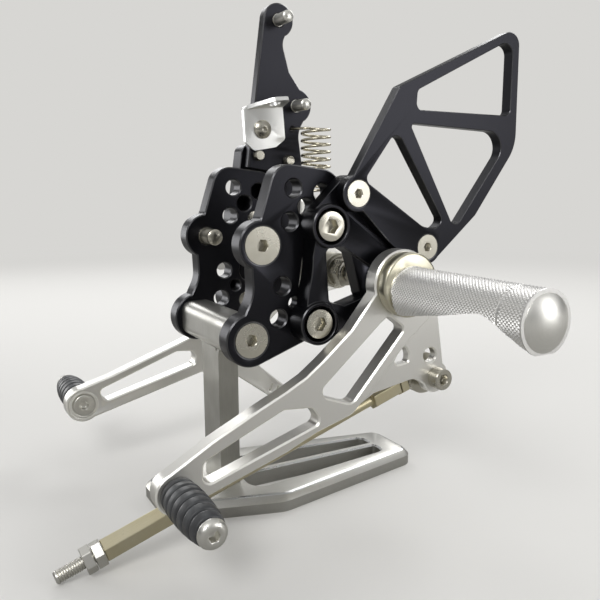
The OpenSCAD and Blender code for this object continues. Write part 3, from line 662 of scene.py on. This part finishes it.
@dataclass
class Footpeg:
    """A knurled footpeg, scooped from below, on its side of the machine.

    Attributes:
        side: 1 for the right side, -1 for the left.
        root: distance of the root from the middle plane in mm.
        length: length in mm.
        radius: radius of the round bar in mm.
        drop: how far its axis lies under the pivot line in mm.
        pitch: distance between the knurl points round the peg in mm.
        rings: number of knurl points along the peg.
        depth: height of the knurl points in mm.
        blunt: how far the knurl's flanks run past its points, which makes them blunt.
        bare_root: length without knurl at the root in mm.
        bare_end: length without knurl at the outer end in mm.
        groove: distance of the turned groove's middle from the outer end in mm.
        groove_half: half the width of that groove in mm.
        groove_depth: its depth in mm.
        flange: largest distance from the pivot line at the root in mm.
        flange_end: distance from the root up to which that limit holds, in mm.
        body: the body that carries the footpeg.
    """

    side: int
    root: float = 66.0
    length: float = 75.0
    radius: float = 12.3
    drop: float = 3.7
    pitch: float = 1.61
    rings: int = 43
    depth: float = 0.5
    blunt: float = 1.1
    bare_root: float = 1.2
    bare_end: float = 0.7
    groove: float = 12.2
    groove_half: float = 0.75
    groove_depth: float = 0.6
    flange: float = 12.2
    flange_end: float = 1.5
    body: str = "stand"

    @property
    def points_round(self) -> int:
        """Number of knurl points round the peg."""
        return round(math.tau * self.radius / self.pitch)

    def underside(self, along: float) -> float:
        """Gives the height of the scooped underside over the pivot line.

        Args:
            along: distance from the root in mm.

        Returns:
            The height in mm, which is negative.
        """
        end = self.length
        line = [(-1.0, -12.3), (6.0, -11.9), (19.4, -9.5), (32.2, -7.1), (end - 33.1, -5.0),
                (end - 25.0, -3.2), (end - 21.0, -2.7), (end - 18.0, -3.1), (end - 15.0, -4.2),
                (end - 11.5, -5.9), (end - 5.7, -9.5), (end - 1.0, -13.5), (end + 1.5, -17.2)]
        (a, low), (b, high) = next(pair for pair in zip(line, line[1:]) if along <= pair[1][0])
        return low + (high - low) * (along - a) / (b - a)

    def knurl(self, around: float, along: float) -> float:
        """Gives the height of the diamond knurl at a place, from 0 to 1.

        Args:
            around: place round the peg in mm.
            along: distance from the root in mm.

        Returns:
            0 in the grooves and 1 on the blunt points.
        """
        def ridge(value: float) -> float:
            """Gives the height of one row of ridges, from 0 to 1."""
            return 1.0 - abs(2.0 * (value % 1.0) - 1.0)
        u, v = around / self.pitch, along / self.length * self.rings
        return min(1.0, self.blunt * ridge(u + v), self.blunt * ridge(u - v))

    def surface(self, turn: float, along: float) -> Vector:
        """Gives a point of the knurled skin.

        Args:
            turn: angle round the peg, in radians.
            along: distance from the root in mm.

        Returns:
            The point in mm.
        """
        plain = along < self.bare_root or along > self.length - self.bare_end
        groove = abs(along - (self.length - self.groove)) < self.groove_half
        around = turn / math.tau * self.points_round * self.pitch
        low = 0.0 if plain else self.depth * (1.0 - self.knurl(around, along))
        r = self.radius - (self.groove_depth if groove else low)
        x, z = r * math.sin(turn), r * math.cos(turn) - self.drop
        floor = self.underside(along)
        if z < floor:
            z = floor + (0.0 if plain or groove else 0.5 * self.depth * (1.0 - self.knurl(x, along)))
        reach = math.hypot(x, z)
        if along < self.flange_end and reach > self.flange:
            x, z = x * self.flange / reach, z * self.flange / reach
        return Vector((x, self.side * (self.root + along), PIVOT_HEIGHT + z))

    def build(self) -> None:
        """Builds the knurled skin with closed ends."""
        cells = 4
        shape = bmesh.new()
        bmesh.ops.create_grid(shape, x_segments=cells * self.points_round, y_segments=cells * self.rings,
                              size=0.5)
        bmesh.ops.poke(shape, faces=shape.faces, offset=0.0)
        for vert in shape.verts:
            turn = (vert.co.x + 0.5) * math.tau
            along = (vert.co.y + 0.5) * self.length
            vert.co = self.surface(turn, along) * MM
        weld(shape, COPY_WELD)
        rims = [edge for edge in shape.edges if len(edge.link_faces) == 1]
        bmesh.ops.holes_fill(shape, edges=rims, sides=0)
        bmesh.ops.recalc_face_normals(shape, faces=shape.faces)
        node = "right_footpeg" if self.side > 0 else "left_footpeg"
        as_piece(shape, node + "_knurled", self.body, [PEG.build()], [node], 20.0)


@dataclass
class PivotHardware(WorkedAssembly):
    """End caps, rings, bolts, nuts, washers, sleeves and bushes on the pivot line.

    Attributes:
        bolts: nodes of the two bolts, with the stations in mm where each begins and ends.
    """

    body: str = "stand"
    parts: List[WorkedPart] = field(default_factory=lambda: [
        WorkedPart("footpeg_end_caps", CAP, CAP, "satin_aluminium", 0.7, 3, 50.0),
        WorkedPart("pivot_rings", RING, RING, "ring_alloy", 1.2, 3, 50.0),
        WorkedPart("pivot_washers", STEEL, STEEL, "stainless_screw", 0.25),
        WorkedPart("pivot_nuts", STEEL, STEEL, "stainless_screw", 0.35, 1, 22.0),
        WorkedPart("left_pivot_sleeve", STEEL, STEEL, "satin_aluminium", 0.2),
        WorkedPart("right_spacer_tube", STEEL, STEEL, "stainless_screw", 0.2),
        WorkedPart("shaft_bush", BRONZE, BRONZE, "bearing_bronze", 0.2)])
    bolts: Tuple[Tuple[str, float, float], ...] = (("left_pivot_bolt", -88.0, -26.0),
                                                   ("right_pivot_bolt", 88.0, -17.5))

    def build(self) -> None:
        """Builds the hardware and the two threaded bolts."""
        super().build()
        for node, start, end in self.bolts:
            shape = turned_thread(Vector((0.0, start, PIVOT_HEIGHT)), Vector((0.0, end, PIVOT_HEIGHT)),
                                  SCREW_THREAD)
            as_piece(shape, node + "_threaded", self.body, [STEEL.build()], [node])


@dataclass
class MasterBracket(WorkedAssembly):
    """Upright bracket for the master cylinder with its studs, screws and switch plate.

    Attributes:
        studs: places of the two studs in the leaning plane of the plates, in mm.
        face_in: station of the bracket's inner face in mm, where the plain shanks end.
        rooted: how far each thread begins inside the bracket, in mm.
        stud_end: station of the studs' points in mm.
    """

    body: str = "stand"
    parts: List[WorkedPart] = field(default_factory=lambda: [
        WorkedPart("master_bracket", BLACK, BLACK_BEVEL_HIGHLIGHT, "black_anodised", 0.6, face=ACROSS),
        WorkedPart("master_bracket_screws", STEEL, STEEL, "stainless_screw", 0.3),
        WorkedPart("switch_plate", SHEET, SHEET, "bright_sheet", 0.3),
        WorkedPart("switch_plate_screw", STEEL, STEEL, "stainless_screw", 0.2, 1, 50.0)])
    studs: Tuple[Tuple[float, float], ...] = ((-31.7, 124.6), (-15.6, 83.7))
    face_in: float = 31.5
    rooted: float = 0.5
    stud_end: float = 20.0

    def build(self) -> None:
        """Builds the bracket and its two threaded studs."""
        super().build()
        shape = merged_copy("master_studs")
        chamfer(shape, sharp_edges(shape), 0.3)
        shorten(shape, self.face_in, 1.0)
        for place in self.studs:
            x, z = lean(*place)
            add_shape(shape, turned_thread(Vector((x, self.face_in + self.rooted, z)),
                                           Vector((x, self.stud_end, z)), STUD_THREAD))
        as_piece(shape, "master_studs_finished", self.body, [ZINC.build(), ZINC.build()],
                 ["master_studs"])


@dataclass
class ReturnSpring:
    """Coil spring between the master bracket and the pin of the brake arm, sizes in mm.

    Attributes:
        x: place of the coil's axis along the machine.
        y: place of the coil's axis across the machine.
        low: height of the coil's lower end.
        top: height of its upper end.
        middle: radius of the wire's middle line.
        wire: radius of the wire.
        turns: number of turns.
        turn_points: points of the path in one turn.
        pin: x and z of the brake arm's pin.
        pin_radius: radius of the pin.
        clearance: gap between the pin and the hook round it.
        rise: from the hook's end, how far the wire stands off and how far under the coil it is.
        tie: hole of the upper end in the leaning plane of the plates.
        tie_stations: stations between which the end runs through that hole.
        bend: how far the end bends away from the coil, along and across the machine.
        body: the body meant for the upper end; not used.
        moving: the body meant for the pin; not used.
    """

    x: float = -1.3
    y: float = 15.0
    low: float = 147.0
    top: float = 181.0
    middle: float = 7.3
    wire: float = 0.7
    turns: int = 9
    turn_points: int = 28
    pin: Tuple[float, float] = (-7.0, 142.0)
    pin_radius: float = 2.0
    clearance: float = 0.15
    rise: Tuple[float, float] = (0.8, 2.0)
    tie: Tuple[float, float] = (-16.5, 71.5)
    tie_stations: Tuple[float, float] = (29.0, 36.0)
    bend: Tuple[float, float] = (-2.5, 1.5)
    body: str = "stand"
    moving: str = "brake"

    def path(self) -> List[Vector]:
        """Gives the wire's middle line: hook round the pin, coil, and end in the bracket.

        Returns:
            The points of the line in mm.
        """
        near = self.y + self.middle
        hook = self.pin_radius + self.wire + self.clearance
        line = []
        for degrees in range(-150, 11, 16):
            angle = math.radians(degrees)
            line.append(Vector((self.pin[0] + hook * math.cos(angle), near,
                                self.pin[1] + hook * math.sin(angle))))
        line.append(Vector((self.pin[0] + hook + self.rise[0], near, self.low - self.rise[1])))
        steps = self.turns * self.turn_points
        for i in range(steps + 1):
            angle = math.radians(90.0) + math.tau * self.turns * i / steps
            line.append(Vector((self.x + self.middle * math.cos(angle),
                                self.y + self.middle * math.sin(angle),
                                self.low + (self.top - self.low) * i / steps)))
        line.append(Vector((self.x + self.bend[0], near + self.bend[1], self.top)))
        x, z = lean(*self.tie)
        line += [Vector((x, station, z)) for station in self.tie_stations]
        return line

    def build(self) -> None:
        """Builds the wire as a tube along its path."""
        curve = bpy.data.curves.new("return_spring_line", "CURVE")
        curve.dimensions = "3D"
        curve.bevel_depth = self.wire * MM
        curve.bevel_resolution = 3
        curve.use_fill_caps = True
        points = self.path()
        spline = curve.splines.new("POLY")
        spline.points.add(len(points) - 1)
        for point, place in zip(spline.points, points):
            point.co = (*(place * MM), 1.0)
        carrier = bpy.data.objects.new("return_spring_line", curve)
        bpy.context.scene.collection.objects.link(carrier)
        mesh = bpy.data.meshes.new_from_object(carrier)
        bpy.data.objects.remove(carrier)
        shape = bmesh.new()
        shape.from_mesh(mesh)
        bpy.data.meshes.remove(mesh)
        weld(shape, NEW_WELD)
        bmesh.ops.recalc_face_normals(shape, faces=shape.faces)
        wire = as_piece(shape, "return_spring_wire", None, [WIRE.build()], ["return_spring"],
                        50.0)
        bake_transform(wire)


@dataclass
class ToeRubber:
    """A moulded toe rubber with wide ribs between narrow grooves, sizes in mm.

    Attributes:
        node: the CAD node.
        body: the body that carries the rubber.
        side: 1 for the right side, -1 for the left.
        place: x and z of the toe screw.
        start: distance of the rubber's inner end from the middle plane.
        length: length of the rubber.
        ribs: number of ribs.
        radius: radius at the widest place.
        bore: radius of the hole for the toe screw.
        widest: place of the greatest radius as a share of the length.
        slimming: how much slimmer the outer end is.
        swell: power of the barrel's curve.
        inset: how far the skin lies inside the solid's.
        end_round: how much the outer end is rounded off.
        rib: one rib and its groove, as places in shares of the pitch with the depth there.
    """

    node: str
    body: str
    side: int
    place: Tuple[float, float]
    start: float = 60.0
    length: float = 35.0
    ribs: int = 7
    radius: float = 8.0
    bore: float = 4.05
    widest: float = 0.38
    slimming: float = 2.2
    swell: float = 2.2
    inset: float = 0.01
    end_round: float = 0.3
    rib: Tuple[Tuple[float, float], ...] = (
        (0.0, 0.5), (0.03, 0.2), (0.1, 0.04), (0.2, 0.02), (0.42, 0.0), (0.6, 0.02),
        (0.72, 0.08), (0.77, 0.3), (0.81, 0.95), (0.87, 1.02), (0.93, 0.95))

    def width(self, share: float) -> float:
        """Gives the barrel's radius at a share of its length."""
        return self.radius - self.slimming * abs((share - self.widest) / (1.0 - self.widest)) ** self.swell

    def outline(self) -> List[Tuple[float, float]]:
        """Gives the turned outline, rib by rib.

        Returns:
            Points as radius and distance in mm.
        """
        line = [(self.bore, 0.0)]
        for number in range(self.ribs):
            for share, low in self.rib:
                at = (number + share) / self.ribs
                line.append((self.width(at) - low - self.inset, at * self.length))
        return line + [(self.width(1.0) - self.end_round, self.length), (self.bore, self.length)]

    def build(self) -> None:
        """Turns the outline round the toe screw."""
        x, z = self.place
        shape = turned(self.outline(), Vector((x, self.side * self.start, z)),
                       Vector((0.0, float(self.side), 0.0)), 72, True)
        as_piece(shape, self.node + "_moulded", self.body, [RUBBER.build()], [self.node],
                 40.0)


@dataclass
class ShiftLever(WorkedAssembly):
    """Shift lever with its bush, toe screw and link hardware."""

    body: str = "shift_arm"
    parts: List[WorkedPart] = field(default_factory=lambda: [
        WorkedPart("shift_lever", LEVER, LEVER_BEVEL_HIGHLIGHT, "satin_aluminium", 0.7, face=ACROSS),
        WorkedPart("lever_bush", BRONZE, BRONZE, "bearing_bronze", 0.2),
        WorkedPart("shift_toe_screw", ZINC, ZINC, "stainless_screw", 0.4, 2, 40.0),
        WorkedPart("link_screw", STEEL, STEEL, "stainless_screw", 0.4),
        WorkedPart("link_spacer", STEEL, STEEL, "stainless_screw", 0.2),
        WorkedPart("link_nut", STEEL, STEEL, "stainless_screw", 0.3, 1, 22.0),
        WorkedPart("rod_ball", STEEL, STEEL, "stainless_screw", 0.1)])


@dataclass
class ShiftRod(WorkedAssembly):
    """Rod end, rod, nuts and the threaded end that rests on the ground.

    Attributes:
        slope: fall of the rod in degrees.
        ball: centre of the ball in mm.
        stud: distances from the ball in mm where the threaded end begins and ends.
    """

    body: str = "shift_rod_body"
    parts: List[WorkedPart] = field(default_factory=lambda: [
        WorkedPart("rod_end", STEEL, STEEL, "stainless_screw", 0.4),
        WorkedPart("rod_jam_nut", ROD, ROD, "rod_steel", 0.35, 1, 22.0),
        WorkedPart("shift_rod", ROD, ROD, "rod_steel", 0.25, 1, 22.0),
        WorkedPart("rod_lock_nuts", ZINC, ZINC, "rod_steel", 0.35, 1, 22.0)])
    slope: float = 18.24
    ball: Tuple[float, float, float] = (22.5, -45.0, 61.0)
    stud: Tuple[float, float] = (146.0, 185.2)

    def along(self, distance: float) -> Vector:
        """Gives the point of the rod's line at a distance from the ball, in mm."""
        slope = math.radians(self.slope)
        return Vector(self.ball) + distance * Vector((-math.cos(slope), 0.0, -math.sin(slope)))

    def build(self) -> None:
        """Builds the rod's pieces and its threaded end."""
        super().build()
        start, end = self.stud
        shape = turned_thread(self.along(start), self.along(end), ROD_THREAD)
        as_piece(shape, "rod_stud_threaded", self.body, [ZINC.build()], ["rod_stud"])


@dataclass
class BrakePedal(WorkedAssembly):
    """Brake pedal with its shaft, inner arm, spring pin and toe screw."""

    body: str = "brake"
    parts: List[WorkedPart] = field(default_factory=lambda: [
        WorkedPart("brake_pedal", LEVER, LEVER_BEVEL_HIGHLIGHT, "satin_aluminium", 0.7, face=ACROSS),
        WorkedPart("brake_shaft", STEEL, STEEL, "stainless_screw", 0.3),
        WorkedPart("brake_arm", LEVER, LEVER_BEVEL_HIGHLIGHT, "satin_aluminium", 0.6, face=ACROSS),
        WorkedPart("spring_pin", STEEL, STEEL, "stainless_screw", 0.2),
        WorkedPart("brake_toe_screw", ZINC, ZINC, "stainless_screw", 0.4, 2, 40.0)])


@dataclass(frozen=True)
class SoftLamp:
    """One soft lamp that faces the object.

    Attributes:
        name: name of the lamp.
        place: where it hangs, in metres.
        size: side of the square lamp in metres.
        power: power in watts.
        aim: point that it faces, in metres.
    """

    name: str
    place: Tuple[float, float, float]
    size: float
    power: float
    aim: Tuple[float, float, float] = (-0.03, 0.0, 0.11)

    def build(self) -> None:
        """Hangs the lamp, out of the camera's sight."""
        data = bpy.data.lights.new(self.name, "AREA")
        data.size = self.size
        data.energy = self.power
        lamp = bpy.data.objects.new(self.name, data)
        lamp.location = self.place
        away = Vector(self.place) - Vector(self.aim)
        lamp.rotation_euler = away.to_track_quat("Z", "Y").to_euler()
        lamp.visible_camera = False
        bpy.context.scene.collection.objects.link(lamp)


@dataclass
class Studio:
    """Pale floor, soft lamps and the camera at the photograph's view.

    Attributes:
        paper: colour of the floor.
        far_paper: colour of the background.
        mirrored_paper: colour of the floor in reflections.
        sky: colour of the world's light.
        floor_radius: radius of the floor in metres.
        fade: distances in metres between which the floor fades into the background.
        rise: heights of a direction between which the world grows brighter.
        strength: strength of the world's light at those heights.
        lamps: the lamps.
        camera_mm: the camera's place in mm.
        azimuth: the camera's direction round the object in degrees.
        elevation: its height over the horizon in degrees.
        roll: its turn about its own axis in degrees.
        lens: its focal length in mm.
        sensor: width of its sensor in mm.
    """

    paper: str = "#e2e1de"
    far_paper: str = "#d7d6d3"
    mirrored_paper: str = "#9b9a97"
    sky: str = "#f6f6f6"
    floor_radius: float = 3.0
    fade: Tuple[float, float] = (0.35, 1.3)
    rise: Tuple[float, float] = (-0.1, 0.9)
    strength: Tuple[float, float] = (0.05, 0.62)
    lamps: Tuple[SoftLamp, ...] = (SoftLamp("key_lamp", (-0.75, -0.75, 0.85), 0.45, 6.2),
                                   SoftLamp("fill_lamp", (0.62, -0.9, 0.36), 0.5, 3.2),
                                   SoftLamp("back_lamp", (0.8, 0.5, 0.85), 0.6, 4.5),
                                   SoftLamp("rim_lamp", (0.12, 1.0, 0.62), 0.45, 2.6),
                                   SoftLamp("edge_lamp", (-0.5, 1.05, 0.22), 0.42, 2.4))
    camera_mm: Tuple[float, float, float] = (-190.6, -307.8, 153.5)
    azimuth: float = -29.05
    elevation: float = 9.65
    roll: float = -0.32
    lens: float = 42.0
    sensor: float = 36.0

    def floor_paper(self) -> bpy.types.Material:
        """Makes the floor's paper, which is darker in reflections and fades out far away.

        Returns:
            The finished material.
        """
        material, place = start_material("floor_paper")
        tree = material.node_tree
        far = add_node(tree, "ShaderNodeVectorMath", {"operation": "LENGTH"}, {0: place})
        fade = add_node(tree, "ShaderNodeMapRange",
                        {"From Min": self.fade[0], "From Max": self.fade[1],
                         "interpolation_type": "SMOOTHSTEP"}, {"Value": far.outputs["Value"]})
        path = add_node(tree, "ShaderNodeLightPath")
        tone = add_node(tree, "ShaderNodeMix",
                        {"data_type": "RGBA", 6: linear(self.paper), 7: linear(self.mirrored_paper)},
                        {0: path.outputs["Is Glossy Ray"]})
        paper = add_node(tree, "ShaderNodeBsdfPrincipled", {"Roughness": 0.9, "Specular IOR Level": 0.2},
                         {"Base Color": tone.outputs[2]})
        glow = add_node(tree, "ShaderNodeEmission", {"Color": linear(self.far_paper), "Strength": 1.0})
        mixed = add_node(tree, "ShaderNodeMixShader", {},
                         {0: fade.outputs["Result"], 1: paper.outputs["BSDF"], 2: glow.outputs["Emission"]})
        add_node(tree, "ShaderNodeOutputMaterial", {}, {"Surface": mixed.outputs["Shader"]})
        return material

    def floor(self) -> None:
        """Makes the floor, which fades into the background far from the object."""
        shape = bmesh.new()
        bmesh.ops.create_circle(shape, cap_ends=True, segments=96, radius=self.floor_radius)
        mesh = bpy.data.meshes.new("studio_floor")
        shape.to_mesh(mesh)
        shape.free()
        mesh.materials.append(self.floor_paper())
        floor = bpy.data.objects.new("studio_floor", mesh)
        bpy.context.scene.collection.objects.link(floor)

    def world(self) -> None:
        """Makes the world: pale to the camera, and brighter from above as light."""
        world = bpy.data.worlds.new("studio_world")
        world.use_nodes = True
        tree = world.node_tree
        tree.nodes.clear()
        path = add_node(tree, "ShaderNodeLightPath")
        place = add_node(tree, "ShaderNodeTexCoord")
        parts = add_node(tree, "ShaderNodeSeparateXYZ", {}, {0: place.outputs["Generated"]})
        rise = add_node(tree, "ShaderNodeMapRange",
                        {"From Min": self.rise[0], "From Max": self.rise[1],
                         "To Min": self.strength[0], "To Max": self.strength[1],
                         "interpolation_type": "SMOOTHSTEP"}, {"Value": parts.outputs["Z"]})
        light = add_node(tree, "ShaderNodeBackground", {"Color": linear(self.sky)},
                         {"Strength": rise.outputs["Result"]})
        shown = add_node(tree, "ShaderNodeBackground", {"Color": linear(self.far_paper), "Strength": 1.0})
        mixed = add_node(tree, "ShaderNodeMixShader", {},
                         {0: path.outputs["Is Camera Ray"], 1: light.outputs["Background"],
                          2: shown.outputs["Background"]})
        add_node(tree, "ShaderNodeOutputWorld", {}, {"Surface": mixed.outputs["Shader"]})
        bpy.context.scene.world = world

    def camera(self) -> None:
        """Sets the camera at the photograph's place, height and lens."""
        data = bpy.data.cameras.new("photo_camera")
        data.lens = self.lens
        data.sensor_width = self.sensor
        data.clip_start = 0.01
        az, el = math.radians(self.azimuth), math.radians(self.elevation)
        back = Vector((math.sin(az) * math.cos(el), -math.cos(az) * math.cos(el), math.sin(el)))
        camera = bpy.data.objects.new("photo_camera", data)
        camera.location = Vector(self.camera_mm) * MM
        turn = back.to_track_quat("Z", "Y") @ Quaternion((0.0, 0.0, 1.0), math.radians(self.roll))
        camera.rotation_euler = turn.to_euler()
        bpy.context.scene.collection.objects.link(camera)
        bpy.context.scene.camera = camera

    def build(self) -> None:
        """Builds the whole studio."""
        self.floor()
        self.world()
        for lamp in self.lamps:
            lamp.build()
        self.camera()
        bpy.context.scene.view_settings.view_transform = "Standard"


def write_sizes() -> None:
    """Defines a helper that turns a box into plain lists, and does nothing else."""
    def plain(box: Sequence[Sequence[float]]) -> List[List[float]]:
        """Turns a box into plain lists."""
        return [[float(value) for value in corner] for corner in box]


def main() -> None:
    """Builds the sub-assemblies in order and reports each one."""
    logging.basicConfig(level=logging.INFO)
    for assembly in (Studio(), DisplayStand(), FrameSide(), Footpeg(-1), Footpeg(1), PivotHardware(),
                     MasterBracket(), ReturnSpring(), ShiftLever(), ShiftRod(), BrakePedal(),
                     ToeRubber("shift_toe_rubber", "shift_arm", -1, SHIFT_TOE),
                     ToeRubber("brake_toe_rubber", "brake", 1, BRAKE_TOE)):
        assembly.build()
        LOG.info("finished %s", type(assembly).__name__)
    write_sizes()


if __name__ == "__main__":
    main()
